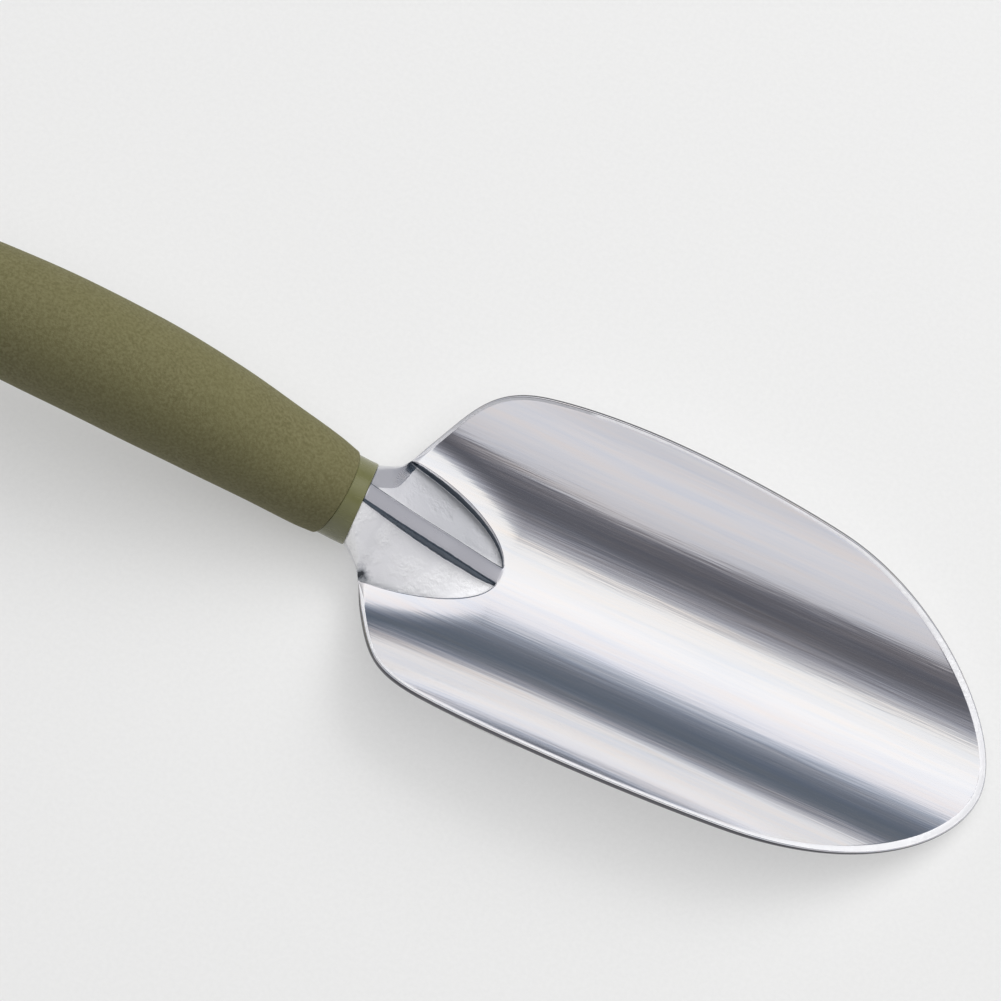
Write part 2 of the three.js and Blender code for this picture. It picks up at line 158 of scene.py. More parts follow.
def smooth_table(table):
    """A smooth curve through (position, value) pairs that doesn't overshoot between them."""
    xs = [p[0] for p in table]
    ys = [p[1] for p in table]
    slopes = [(ys[i + 1] - ys[i]) / (xs[i + 1] - xs[i]) for i in range(len(xs) - 1)]
    at_knots = [slopes[0]]
    for before, after in zip(slopes, slopes[1:]):
        same_way = before * after > 0
        at_knots.append(2 * before * after / (before + after) if same_way else 0.0)
    at_knots.append(slopes[-1])

    def value(x):
        if x <= xs[0]:
            return ys[0]
        if x >= xs[-1]:
            return ys[-1]
        i = bisect.bisect_right(xs, x) - 1
        width = xs[i + 1] - xs[i]
        t = (x - xs[i]) / width
        start = (2 * t ** 3 - 3 * t ** 2 + 1) * ys[i] + (t ** 3 - 2 * t ** 2 + t) * width * at_knots[i]
        end = (3 * t ** 2 - 2 * t ** 3) * ys[i + 1] + (t ** 3 - t ** 2) * width * at_knots[i + 1]
        return start + end

    return value


def smooth_min(a, b, reach):
    h = max(0.0, reach - abs(a - b)) / reach
    return min(a, b) - h * h * reach / 4


# ---------------------------------------------------------------------------- mesh building
core_low, core_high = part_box("handle_core")
ORIGIN = np.array([core_high.x, 0.0, core_low.z + (COLLAR_RADIUS - AXIS_HEIGHT) * MM])


def loft(name, rings, closed=False, marks=()):
    """A mesh through rings of points; points that coincide are joined. A closed loft's last
    ring meets its first. Values after a point's place are kept as the named marks."""
    rows = len(rings)
    columns = len(rings[0])
    vertices = [tuple(np.array(p[:3]) * MM + ORIGIN) for ring in rings for p in ring]
    faces = []
    for i in range(rows if closed else rows - 1):
        here = i * columns
        there = ((i + 1) % rows) * columns
        for j in range(columns):
            k = (j + 1) % columns
            faces.append((here + j, here + k, there + k, there + j))
    mesh = bpy.data.meshes.new(name)
    mesh.from_pydata(vertices, [], faces)
    for place, mark_name in enumerate(marks, 3):
        attribute = mesh.attributes.new(mark_name, "FLOAT", "POINT")
        attribute.data.foreach_set("value", [p[place] for ring in rings for p in ring])
    build = bmesh.new()
    build.from_mesh(mesh)
    bmesh.ops.remove_doubles(build, verts=build.verts, dist=4e-6)
    bmesh.ops.dissolve_degenerate(build, dist=1e-6, edges=build.edges)
    bmesh.ops.recalc_face_normals(build, faces=build.faces)
    build.to_mesh(mesh)
    build.free()
    mesh.polygons.foreach_set("use_smooth", [True] * len(mesh.polygons))
    piece = bpy.data.objects.new(name, mesh)
    bpy.context.scene.collection.objects.link(piece)
    return piece


def finish_piece(piece, node, material):
    piece.data.materials.append(material)
    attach(piece, "root")
    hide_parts(node)


# ------------------------------------------------------------------------------ trowel head
outline = Path(OUTLINE)
pocket_path = Path([POCKET_ARC])
rib_height = smooth_table([(0, 0.2), (5, 0.8), (12, 1.9), (23, 3.3), (31, 2.8), (36, 2.2)])
flank_foot = smooth_table([
    (0, 8.0), (4.4, 4.0), (7.6, 0.9), (15, -0.4), (22, -0.9), (36, -1.2),
])
# How far out the as-cast skin reaches on each side, beside the collar
far_border = smooth_table([
    (0.8, 1.5), (3.3, 3.7), (5.1, 5.2), (6.3, 7.1), (7.0, 9.6), (7.7, 13), (8.4, 18),
])
near_border = smooth_table([(0, 10.6), (3.0, 12.5), (6.0, 15), (7.6, 18)])
side_height = smooth_table([(0, 5.4), (3.8, 3.6), (6.6, 2.6)])
underside = smooth_table([(0, -4.4), (8, -4.8), (20, -4.8), (32, -4.8), (48, -3.7), (64, -1.6)])


def rib_top(x):
    return 15.3 - 0.47 * x + 0.0022 * x * x - 0.95 * smoothstep(x, *RIB_SETTLE)


def pocket_distance(x, y):
    """How far a point is outside the pocket's wall, in plan."""
    away = np.hypot(pocket_path.points[:, 0] - x, pocket_path.points[:, 1] - abs(y))
    return float(away.min())


def ledge(x, y):
    """Beside the pocket the blade is nearly flat, and then turns up into the trough."""
    share = 1 - pocket_distance(x, y) / LEDGE_REACH
    fade = max(0.0, 1 - (x / POCKET_APEX) ** 2) ** 0.8
    return -LEDGE_RISE * fade * smooth_min(0.0, -share, 0.5)


def blade_inside(x, y):
    """Height of the trough's inside: lower at the shoulders, raised beside the pocket."""
    trough = TROUGH_RADIUS - math.sqrt(TROUGH_RADIUS ** 2 - y * y)
    drop = SHOULDER_DROP * max(0.0, 1 - x / SHOULDER_REACH) ** 1.5 * (y / SHOULDER_WIDTH) ** 2
    return trough - drop + ledge(x, y)


def pocket_half_width(x):
    if x >= POCKET_APEX:
        return 0.0
    return float(np.interp(x, pocket_path.points[:, 0], pocket_path.points[:, 1]))


def neck_body(x, y, half_width):
    """The neck's polished outside: half round at the collar, opening into a bell."""
    opened = smoothstep(x, 1.5, 10)
    share = min(1.0, abs(y) / half_width)
    fall = (1 - share ** lerp(2, 1.15, opened)) ** lerp(0.5, 1, opened)
    return side_height(x) + (rib_top(x) + 0.1 - side_height(x)) * fall


def flank(x, y, half_width, foot):
    """The as-cast slope beside the rib, falling nearly straight from the rib to the foot."""
    share = min(1.0, abs(y) / half_width)
    crest = max(rib_top(x) - rib_height(x), foot)
    return crest - (crest - foot) * share ** 1.15


def blade_underside(x, y, thickness):
    lean = y / TROUGH_RADIUS
    return blade_inside(x, y) - thickness / math.sqrt(1 - lean * lean)


class HeadRow:
    """One side of a cross-section of the head: where its walls, rim and pocket are."""

    def __init__(self, distance, far):
        x, w = outline.at(distance)
        tangent = outline.tangent(distance)
        self.x = x
        self.w = w
        self.out = np.array([-tangent[1], tangent[0]])
        if self.out[1] < 0:
            self.out = -self.out
        if w < 0.02:
            self.out = np.array([1.0, 0.0])
        self.cast_border = far_border if far else near_border
        # the painted dark reflection in the hollow is fainter on the far side
        self.corner_shade_strength = 0.62 if far else 1.0
        self.blade = smoothstep(x, POCKET_CORNER - 0.4, POCKET_CORNER + 2.4)
        self.thickness = RIM_THICKNESS * self.blade
        open_width = min(w, pocket_half_width(x)) if x > POCKET_CORNER else w
        self.pocket = max(RIB_BASE, open_width) if w > RIB_BASE else 0.0
        self.open = open_width > RIB_BASE    # the pocket is here
        self.bevel = lerp(*BEVEL_WIDTH, smoothstep(x, *BEVEL_SPAN)) * self.blade
        self.round = min(RIM_ROUND, (self.thickness - BEVEL_SLOPE * self.bevel) * 0.45)
        behind = max(0.0, self.out[0]) ** 4
        self.inside_x = x - behind * (self.round + self.bevel)
        self.under_x = x - behind * self.round
        self.flank_width = POCKET_HALF_WIDTH if x <= POCKET_CORNER else self.pocket
        self.foot = flank_foot(x) if x <= POCKET_CORNER else min(flank_foot(x), self.top(self.pocket))

    def top(self, y):
        """Height of the blade's inside, easing into the neck's side at the pocket's corner."""
        if self.blade <= 0:
            return side_height(self.x)
        inside = blade_inside(self.x, y)
        return lerp(side_height(self.x), inside, self.blade)

    def floor(self, y):
        if not self.open:
            return self.top(y)
        slope = flank(self.x, y, self.flank_width, self.foot)
        if self.x > NECK_BODY_END:
            return slope
        return smooth_min(slope, neck_body(self.x, y, self.w), 0.2)

    def cast(self, y):
        """Above 0 where the surface is as cast: mm inside the polished border, at most 1."""
        if not self.open:
            return -1.0
        if self.x > NECK_BODY_END:
            return 1.0
        return min(1.0, max(-1.0, self.cast_border(self.x) - y))

    def corner(self, y):
        """How strong the painted dark reflection in the hollow where the neck's side meets the blade
        is: 0 away from it.
        """
        along = (self.x - CORNER_SHADE_PLACE[0]) / CORNER_SHADE_REACH[0]
        across = (y - CORNER_SHADE_PLACE[1]) / CORNER_SHADE_REACH[1]
        return self.corner_shade_strength * max(0.0, 1 - math.hypot(along, across))


def rib_points(row):
    """Half of the rib's section: flat top, rounded edge, side and fillet."""
    scale = min(1.0, 0.6 * row.w / RIB_BASE)
    base = row.floor(RIB_BASE * scale)
    profile = [(y, 1.0, 0.0) for y in (0, 0.7, 1.3, RIB_HALF_WIDTH - RIB_ROUND)]
    for angle in (30, 60, 90):
        a = math.radians(angle)
        y = RIB_HALF_WIDTH - RIB_ROUND * (1 - math.sin(a))
        profile.append((y, 1 - 0.3 * (1 - math.cos(a)), 1.0))
    profile += [(2.29, 0.4, 1.0), (2.34, 0.14, 1.0), (2.43, 0.04, 0.6), (RIB_BASE, 0.0, 0.0)]
    points = []
    for y, share, side in profile:
        y *= scale
        late = row.x + 0.7 * (y / RIB_HALF_WIDTH) ** 2
        under = row.floor(y) if row.open else row.top(y)
        ground = min(under, base) if row.open else under
        height = -smooth_min(0.0, ground - rib_top(late), 0.3)
        inside = POCKET_APEX - y * y / (2 * POCKET_APEX_ROUND) - row.x
        here = smoothstep(inside, -0.4, 0.5)
        rib = here * (1 - side) if share > 0 else 0.0
        cast = row.cast(y) if share == 0 else -1.0
        # the rib's sides are marked for the painted dark reflection of the walls
        points.append((row.inside_x, y, ground + height * share, cast, side * here, rib, 0.0, 0.0))
    return points


FLOOR_SHARES = [math.sin(i / 16 * math.pi / 2) for i in range(1, 17)]
WALL_PROFILE = [(-0.10, 0.06), (0.0, 0.22), (0.02, 0.72), (0.10, 0.93), (0.28, 1.0)]
BLADE_SHARES = [0.012] + [i / 26 for i in range(1, 26)] + [0.988, 1.0]
BEVEL_SHARES = (0.08, 0.35, 0.7, 1.0)
RIM_ANGLES = (67, 45, 22, 0)
UPPER_DARK = 30   # the upper rounding gets a painted dark reflection below this angle
LOWER_DARK = 60   # and the lower rounding below this one
UNDER_COUNT = 34
# wall, corner and rim place painted dark reflections; cast and rib_top are finishes
MARKS = ("cast", "wall", "rib_top", "corner", "rim")
PLAIN = (-1.0, 0.0, 0.0, 0.0, 0.0)     # the marks of a polished point
GROUND = (1.0, 0.0, 0.0, 0.0, 0.0)     # on the ground bevel
PAINTED_RIM_SHADE = (-1.0, 0.0, 0.0, 0.0, 1.0)       # a painted dark reflection on the rim's rounding


def pocket_points(row, start):
    """The pocket's floor beside the rib, and its wall up to the blade. Rows past the pocket
    have neither, and there the points sit on the blade."""
    wall_height = max(0.0, row.top(row.pocket) - row.floor(row.pocket)) if row.open else 0.0
    has_wall = row.open and row.blade > 0 and row.pocket < row.w - 1e-6
    margin = max(0.0, (row.w - row.pocket) * 0.6)
    fillet = min(1.0, wall_height, margin) if has_wall else 0.0
    end = row.pocket - 0.25 * fillet
    points = []
    for share in FLOOR_SHARES:
        y = lerp(start, end, share) if row.open else start
        z = row.floor(y) if row.open else row.top(y)
        points.append((row.inside_x, y, z, row.cast(y), 0.0, 0.0, row.corner(y), 0.0))
    low = points[-1][2]
    for offset, share in WALL_PROFILE:
        y = row.pocket + offset * fillet if row.open else start
        z = lerp(low, row.top(max(y, row.pocket)), share)
        # the pocket's wall is marked for its painted dark reflection
        wall = 1.0 if has_wall and share < 0.9 else 0.0
        points.append((row.inside_x, y, z, -1.0, wall, 0.0, row.corner(y), 0.0))
    return points


def blade_points(row, inner, crest):
    points = []
    for share in BLADE_SHARES:
        y = lerp(inner, crest[1], share) if crest[1] > inner else crest[1]
        x = lerp(row.inside_x, crest[0], share ** 2)
        points.append((x, y, row.top(y), *PLAIN))
    return points


def bevel_points(row, crest, out, normal):
    marks = GROUND if row.blade > 0 else PLAIN
    points = []
    for share in BEVEL_SHARES:
        fall = BEVEL_SLOPE * (0.4 + 0.6 * share)
        place = crest + (out - normal * fall) * row.bevel * share
        points.append((*place, *marks))
    return points


def rim_points(row, inset, out, normal):
    """The rounded rim, from the bevel round to the underside, and the underside's edge."""
    marks = PAINTED_RIM_SHADE if row.blade > 0 else PLAIN
    left = row.thickness - BEVEL_SLOPE * row.bevel
    points = []
    for angle in RIM_ANGLES:
        a = math.radians(angle)
        depth = row.round * (1 - math.sin(a))
        place = inset + out * row.round * math.cos(a) - normal * depth
        points.append((*place, *(marks if angle < UPPER_DARK else PLAIN)))
    for angle in reversed(RIM_ANGLES):
        a = math.radians(angle)
        depth = left - row.round * (1 - math.sin(a))
        place = inset + out * row.round * math.cos(a) - normal * depth
        points.append((*place, *(marks if angle < LOWER_DARK else PLAIN)))
    points.append((*(inset - normal * left), *PLAIN))
    return points


def head_half(distance, far):
    """Half of a cross-section: from the rib over the pocket, blade and rim to the underside."""
    row = HeadRow(distance, far)
    ring = rib_points(row)
    ring += pocket_points(row, ring[-1][1])
    lean = math.asin(min(1.0, row.w / TROUGH_RADIUS))
    out = np.array([row.out[0], row.out[1] * math.cos(lean), row.out[1] * math.sin(lean)])
    normal = np.array([0.0, -math.sin(lean), math.cos(lean)])
    edge = np.array([row.x, row.w, row.top(row.w)])
    crest = edge - out * (row.round + row.bevel)
    ring += blade_points(row, ring[-1][1], crest)
    crest[2] = ring[-1][2]
    ring += bevel_points(row, crest, out, normal)
    ring += rim_points(row, np.array(ring[-1][:3]), out, normal)
    return ring + under_points(row, ring[-1])


def under_points(row, foot):
    outer = lerp(*SWELL_HALF_WIDTH, smoothstep(row.x, *SWELL_SPAN))
    outer = min(row.w, outer)
    points = []
    rounded = 1 - smoothstep(row.x, POCKET_CORNER, 11)
    power = lerp(1.3, 0.5, rounded)
    end_depth = under_height(row, abs(foot[1]), outer, power, rounded)
    for i in range(1, UNDER_COUNT + 1):
        v = i / UNDER_COUNT
        share = lerp(1 - v, math.cos(v * math.pi / 2), rounded)
        y = foot[1] * share
        x = lerp(row.under_x, foot[0], share ** 2)
        z = under_height(row, y, outer, power, rounded)
        z += (foot[2] - end_depth) * share ** 10
        points.append((x, y, z, *PLAIN))
    return points


def under_height(row, y, outer, power, rounded):
    """The underside: a sheet, with a swelling below the pocket that fades out ahead of it.
    Outside the swelling's edge the lower of the two is still taken, so the underside runs
    level there, and the head is thicker than the sheet until the swelling has faded."""
    share = min(1.0, y / max(row.w, 1e-6))
    round_z = side_height(row.x) + (underside(row.x) - side_height(row.x)) * math.sqrt(1 - share ** 2)
    if rounded >= 1:
        return round_z
    edge_share = min(1.0, abs(y) / max(outer, 1e-6))
    thickness = lerp(BLADE_THICKNESS, RIM_THICKNESS, share ** 4)
    sheet = blade_underside(row.x, y, thickness)
    edge = blade_underside(row.x, outer, BLADE_THICKNESS)
    swell = edge + (underside(row.x) - edge) * (1 - edge_share ** 2) ** power
    faded = smoothstep(row.x, *SWELL_FADE)
    swell = lerp(swell, sheet + 1, faded)
    blended = smooth_min(sheet, swell, 1.4 * (1 - faded) + 0.01)
    return lerp(blended, round_z, rounded)


def head_distances():
    """Where the rows stand along the outline: closest at the pocket's ends and the tip."""
    stations = list(np.arange(0.04, 6.2, 0.41))
    stations += [6.3, 6.5, 6.62, 6.8, 7.1, 7.45, 7.9, 8.4, 9.0]
    stations += list(np.arange(9.7, 33.0, 0.7))
    stations += list(np.arange(33.2, 38.4, 0.16))
    stations += list(np.arange(38.8, 44.0, 0.7))
    distances = [float(outline.distance_at_x(x)) for x in stations]
    start = distances[-1]
    tip = outline.length - 16
    count = 78
    distances += [lerp(start, tip, i / count) for i in range(1, count + 1)]
    count = 36
    shares = [math.sin(i / count * math.pi / 2) for i in range(1, count + 1)]
    distances += [lerp(tip, outline.length, share) for share in shares]
    return distances


def tang_ring(like, distance, half_width, half_height):
    """The ring `like` carried on to the tang: the same angles round a rounded rectangle."""
    ring = []
    for _, y, z, *_ in like:
        angle = math.atan2(z - AXIS_HEIGHT, y)
        across = abs(math.cos(angle) / half_width) ** 6
        upright = abs(math.sin(angle) / half_height) ** 6
        radius = (across + upright) ** (-1 / 6)
        place = on_handle(distance, radius * math.cos(angle), radius * math.sin(angle))
        ring.append((*place, *PLAIN))
    return ring


def trowel_head():
    rings = []
    for distance in head_distances():
        near = head_half(distance, False)
        other = [(x, -y, z, *values) for x, y, z, *values in near[-2:0:-1]]
        rings.append(head_half(distance, True) + other)
    root = rings[0]
    tang = []
    for distance in [TANG_END, TANG_END - 1, 70, 60, 50, 40, 32, 24, 18, 12, 8, 4, 0.2, -0.3]:
        taper = 1 - 0.3 * smoothstep(distance, 50, TANG_END)
        if distance == TANG_END:
            taper *= 0.9
        tang.append(tang_ring(root, distance, TANG_HALF[0] * taper, TANG_HALF[1] * taper))
    end = [(*on_handle(TANG_END, 0, 0), *PLAIN)] * len(root)
    return loft("trowel_head_surface", [end] + tang + rings, marks=MARKS)


# ----------------------------------------------------------------------------------- handle
handle_path = Path(HANDLE_PATH)
grip_radius = smooth_table(GRIP_RADII)


def on_handle(distance, left, up):
    """A point at a distance behind the collar's face, off the handle's axis by left and up."""
    along = min(max(distance, 0.0), handle_path.length)
    beyond = distance - along
    x, z = handle_path.at(along)
    tx, tz = handle_path.tangent(along)
    return (x + beyond * tx + up * tz, left, z + beyond * tz - up * tx)


def core_radius(distance):
    return max(CORE_LEAST_RADIUS, grip_radius(distance) - GRIP_WALL)


def thumb_rest(distance, angle):
    along = max(0.0, 1 - ((distance - 24) / 13) ** 2)
    on_top = max(0.0, math.cos(angle)) ** 3
    return 0.9 * along ** 2 * on_top


def quarter_round(radius, distance, size, front, steps=6):
    """Points that round a turned edge: `front` edges face the collar."""
    points = []
    for i in range(steps + 1):
        a = i / steps * math.pi / 2
        if front:
            points.append((radius - size * (1 - math.sin(a)), distance + size * (1 - math.cos(a))))
        else:
            points.append((radius - size * (1 - math.cos(a)), distance - size * (1 - math.sin(a))))
    return points


def turned(profile, sides, shape=None):
    """Rings of a profile of (radius, distance) points turned round the handle's axis."""
    rings = []
    for radius, distance in profile:
        ring = []
        for i in range(sides):
            angle = i / sides * 2 * math.pi
            left = radius * math.sin(angle)
            up = radius * math.cos(angle)
            if shape:
                left, up = shape(distance, radius, angle)
            ring.append(on_handle(distance, left, up))
        rings.append(ring)
    return rings


def grip_shape(distance, radius, angle):
    is_outer = radius > core_radius(distance) + GRIP_WALL / 2
    r = radius - (thumb_rest(distance, angle) if is_outer else 0.0)
    return r * math.sin(angle), r * math.cos(angle)


def grip_sleeve():
    start, end = GRIP_SPAN
    front_edge = 0.7
    end_edge = 1.6
    profile = quarter_round(grip_radius(start + front_edge), start, front_edge, True)
    outside = np.arange(start + front_edge + 0.9, end - end_edge - 0.6, 1.2)
    profile += [(grip_radius(d), d) for d in outside]
    profile += quarter_round(grip_radius(end - end_edge), end, end_edge, False)
    profile += [(core_radius(d) + FIT_GAP, d) for d in np.linspace(end, start, 40)]
    return loft("grip_sleeve_surface", turned(profile, 112, grip_shape), closed=True)


def tail_shape(distance, radius, angle):
    """The tail is turned, then flattened above and below its hanging eye."""
    left = radius * math.sin(angle)
    up = radius * math.cos(angle)
    flat = smoothstep(distance, TAIL_SPAN[0] + 0.4, TAIL_SPAN[0] + 2.2)
    if flat > 0 and abs(up) > TAIL_HALF_THICKNESS - 1:
        limited = smooth_min(abs(up), TAIL_HALF_THICKNESS + 0.15, 0.6)
        up = math.copysign(lerp(abs(up), limited, flat), up)
    return left, up


def handle_core():
    seat_start = COLLAR_LENGTH
    seat_end = TAIL_SPAN[0]
    bore = 6.3
    edge = 0.4
    profile = [(bore, TANG_END + 1), (bore, 40), (bore, 0.0)]
    profile += [(COLLAR_RADIUS - edge - 0.15, 0.0)]
    profile += quarter_round(COLLAR_RADIUS, 0.0, edge, True, 5)
    profile += [(COLLAR_RADIUS, edge + 0.15), (COLLAR_RADIUS, 3.0), (COLLAR_RADIUS, seat_start - 0.35)]
    profile += quarter_round(COLLAR_RADIUS, seat_start, 0.2, False, 3)
    profile += [(core_radius(d), d) for d in np.linspace(seat_start, seat_end, 50)]
    profile += quarter_round(TAIL_RADIUS, seat_end, 0.6, True, 5)
    profile += [(TAIL_RADIUS, d) for d in np.arange(seat_end + 0.8, TAIL_SPAN[1] - TAIL_ROUND, 0.5)]
    profile += quarter_round(TAIL_RADIUS, TAIL_SPAN[1], TAIL_ROUND, False, 22)
    profile += [(0.0, TAIL_SPAN[1])]
    rings = turned(profile, 112, tail_shape)
    bore_end = [on_handle(TANG_END + 1, 0, 0)] * 112
    core = loft("handle_core_surface", [bore_end] + rings)
    cutter = loft("eye_cutter", eye_rings())
    cut = core.modifiers.new("eye", "BOOLEAN")
    cut.operation = "DIFFERENCE"
    cut.solver = "EXACT"
    cut.object = cutter
    bpy.context.view_layer.update()
    evaluated = core.evaluated_get(bpy.context.evaluated_depsgraph_get())
    mesh = bpy.data.meshes.new_from_object(evaluated)
    core.modifiers.clear()
    core.data = mesh
    bpy.data.objects.remove(cutter)
    core.data.set_sharp_from_angle(angle=math.radians(38))
    return core


def eye_rings():
    """A turned cutter whose ends flare, which rounds the edges of the hanging eye."""
    flare = 0.9
    half = TAIL_HALF_THICKNESS
    wide = EYE_RADIUS + flare + 0.6
    past = half + 1.5
    profile = [(0.0, -past), (wide, -past), (wide, -half)]
    for i in range(7):
        a = i / 6 * math.pi / 2
        profile.append((EYE_RADIUS + flare * (1 - math.sin(a)), -half + flare * (1 - math.cos(a))))
    profile += [(r, -h) for r, h in reversed(profile)]
    centre = np.array(on_handle(EYE_CENTRE, 0, 0))
    upward = np.array(on_handle(EYE_CENTRE, 0, 1)) - centre
    ahead = np.array([upward[2], 0.0, -upward[0]])
    rings = []
    for radius, height in profile:
        ring = []
        for i in range(64):
            a = i / 64 * 2 * math.pi
            around = ahead * radius * math.cos(a) + np.array([0.0, radius * math.sin(a), 0.0])
            ring.append(tuple(centre + around + upward * height))
        rings.append(ring)
    return rings


# -------------------------------------------------------------------------------- materials
class Nodes:
    """Short names for building a material's nodes."""

    def __init__(self, name):
        self.material = bpy.data.materials.new(name)
        self.material.use_nodes = True
        self.tree = self.material.node_tree
        self.shader = self.tree.nodes["Principled BSDF"]
        self.place = self.new("ShaderNodeTexCoord").outputs["Object"]

    def new(self, kind, **settings):
        node = self.tree.nodes.new(kind)
        for key, value in settings.items():
            setattr(node, key, value)
        return node

    def link(self, source, target):
        self.tree.links.new(source, target)

    def multiply(self, first, second):
        node = self.new("ShaderNodeMath", operation="MULTIPLY")
        self.link(first, node.inputs[0])
        self.link(second, node.inputs[1])
        return node.outputs[0]

    def scaled_place(self, scale):
        mapping = self.new("ShaderNodeMapping")
        mapping.inputs["Scale"].default_value = scale
        self.link(self.place, mapping.inputs["Vector"])
        return mapping.outputs["Vector"]

    def noise(self, scale, detail, roughness, stretch=(1, 1, 1)):
        node = self.new("ShaderNodeTexNoise")
        node.inputs["Scale"].default_value = scale
        node.inputs["Detail"].default_value = detail
        node.inputs["Roughness"].default_value = roughness
        self.link(self.scaled_place(stretch), node.inputs["Vector"])
        return node.outputs["Fac"]

    def ramp(self, source, stops):
        node = self.new("ShaderNodeValToRGB")
        elements = node.color_ramp.elements
        while len(elements) < len(stops):
            elements.new(0.5)
        for element, (position, colour) in zip(elements, stops):
            element.position = position
            element.color = (*colour, 1.0)
        self.link(source, node.inputs["Fac"])
        return node.outputs["Color"]

    def map_range(self, source, low, high, to_low, to_high):
        node = self.new("ShaderNodeMapRange")
        node.inputs["From Min"].default_value = low
        node.inputs["From Max"].default_value = high
        node.inputs["To Min"].default_value = to_low
        node.inputs["To Max"].default_value = to_high
        self.link(source, node.inputs["Value"])
        return node.outputs["Result"]

    def mix_colour(self, share, first, second):
        node = self.new("ShaderNodeMix", data_type="RGBA")
        self.link(share, node.inputs["Factor"])
        for socket, value in ((node.inputs[6], first), (node.inputs[7], second)):
            if isinstance(value, tuple):
                socket.default_value = (*value, 1.0)
            else:
                self.link(value, socket)
        return node.outputs[2]

    def blend(self, share, first, second):
        node = self.new("ShaderNodeMix", data_type="FLOAT")
        self.link(share, node.inputs["Factor"])
        self.link(first, node.inputs[2])
        self.link(second, node.inputs[3])
        return node.outputs[0]

    def blend_vector(self, share, first, second):
        node = self.new("ShaderNodeMix", data_type="VECTOR")
        self.link(share, node.inputs["Factor"])
        self.link(first, node.inputs[4])
        self.link(second, node.inputs[5])
        return node.outputs[1]

    def bump(self, height, strength, distance, normal=None):
        node = self.new("ShaderNodeBump")
        node.inputs["Strength"].default_value = strength
        node.inputs["Distance"].default_value = distance
        self.link(height, node.inputs["Height"])
        if normal:
            self.link(normal, node.inputs["Normal"])
        return node.outputs["Normal"]

    def set(self, **values):
        for key, value in values.items():
            socket = self.shader.inputs[key.replace("_", " ")]
            if isinstance(value, (int, float, tuple)):
                socket.default_value = value
            else:
                self.link(value, socket)


def mark(n, name, low, high, wander, amount):
    """A mark from the mesh, whose border wanders with the given noise."""
    node = n.new("ShaderNodeAttribute", attribute_name=name)
    shifted = n.new("ShaderNodeMath", operation="ADD")
    n.link(node.outputs["Fac"], shifted.inputs[0])
    n.link(n.map_range(wander, 0.3, 0.7, -amount, amount), shifted.inputs[1])
    return n.map_range(shifted.outputs[0], low, high, 0, 1)


# Where the head's finishes and its painted far-side shade change, in metres ahead of the collar and to
# the far side
SATIN_SPAN = (0.004, 0.008)
FAR_SHADE_SPAN = (0.006, 0.026)
POCKET_PAST = (0.040, 0.042)
FAR_SIDE = (0.001, 0.004)


class HeadMarks:
    """Where the head's finishes and painted shades are, from the mesh's marks and the place along the
    head.
    """

    def __init__(self, n, crumbs):
        self.cast = mark(n, "cast", -0.03, 0.06, crumbs, 0.10)
        # the walls get a painted dark reflection
        self.wall = mark(n, "wall", 0.40, 0.60, crumbs, 0.22)
        self.rib = mark(n, "rib_top", 0.40, 0.60, crumbs, 0.05)
        # the painted dark reflection in the hollow beside the neck
        self.corner = mark(n, "corner", 0.30, 0.85, crumbs, 0.20)
        # the painted dark reflection on the rim's rounding
        self.rim = mark(n, "rim", 0.40, 0.60, crumbs, 0.05)
        parts = n.new("ShaderNodeSeparateXYZ")
        n.link(n.place, parts.inputs[0])
        x = parts.outputs["X"]
        y = parts.outputs["Y"]
        self.satin = n.map_range(x, *(ORIGIN[0] + d for d in SATIN_SPAN), 1, 0)
        # how far the painted shade on the pocket's far side has darkened, going away from the collar
        self.along = n.map_range(x, *(ORIGIN[0] + d for d in FAR_SHADE_SPAN), 0, 1)
        within = n.map_range(x, *(ORIGIN[0] + d for d in POCKET_PAST), 1, 0)
        far = n.map_range(y, *(ORIGIN[1] + d for d in FAR_SIDE), 0, 1)
        self.far_flank_shade = n.multiply(far, within)


def head_colour(n, marks, strokes, patches):
    """Polished metal, satin at the neck; paler skin as cast, with painted shade on the pocket's far
    side;
    painted dark reflections on the walls, rim and corner."""
    polished = n.ramp(strokes, [
        (0.30, (0.82, 0.85, 0.90)), (0.50, (0.89, 0.89, 0.90)), (0.70, (0.93, 0.89, 0.86)),
    ])
    polished = n.mix_colour(marks.satin, polished, (0.74, 0.745, 0.77))
    skin = n.ramp(patches, [(0.3, (0.93, 0.93, 0.95)), (0.7, (0.98, 0.98, 0.99))])
    # painted shade: the as-cast skin on the pocket's far side darkens away from the collar
    far_side_shade = n.ramp(marks.along, [(0.0, (0.78, 0.78, 0.81)), (1.0, (0.56, 0.565, 0.59))])
    skin = n.mix_colour(marks.far_flank_shade, skin, far_side_shade)
    # painted dark reflection in the hollow beside the neck, darkest at its middle
    painted_corner_shade = n.ramp(marks.corner, [(0.6, (0.20, 0.225, 0.26)), (1.0, (0.07, 0.075, 0.085))])
    colour = n.mix_colour(marks.cast, polished, skin)
    colour = n.mix_colour(marks.rib, colour, (0.74, 0.74, 0.77))
    # painted dark reflection on the pocket's walls and the rib's sides
    colour = n.mix_colour(marks.wall, colour, (0.10, 0.125, 0.155))
    colour = n.mix_colour(marks.corner, colour, painted_corner_shade)
    # painted dark reflection on the rim's rounding
    return n.mix_colour(marks.rim, colour, (0.14, 0.14, 0.15))


def head_roughness(n, marks, streaks, strokes, grains):
    fine = n.map_range(streaks, 0.3, 0.7, 0.07, 0.15)
    fine = n.blend(marks.satin, fine, n.map_range(streaks, 0.3, 0.7, 0.32, 0.40))
    rough = n.blend(marks.cast, fine, n.map_range(grains, 0.3, 0.7, 0.42, 0.52))
    return n.blend(marks.rib, rough, n.map_range(strokes, 0.3, 0.7, 0.26, 0.34))


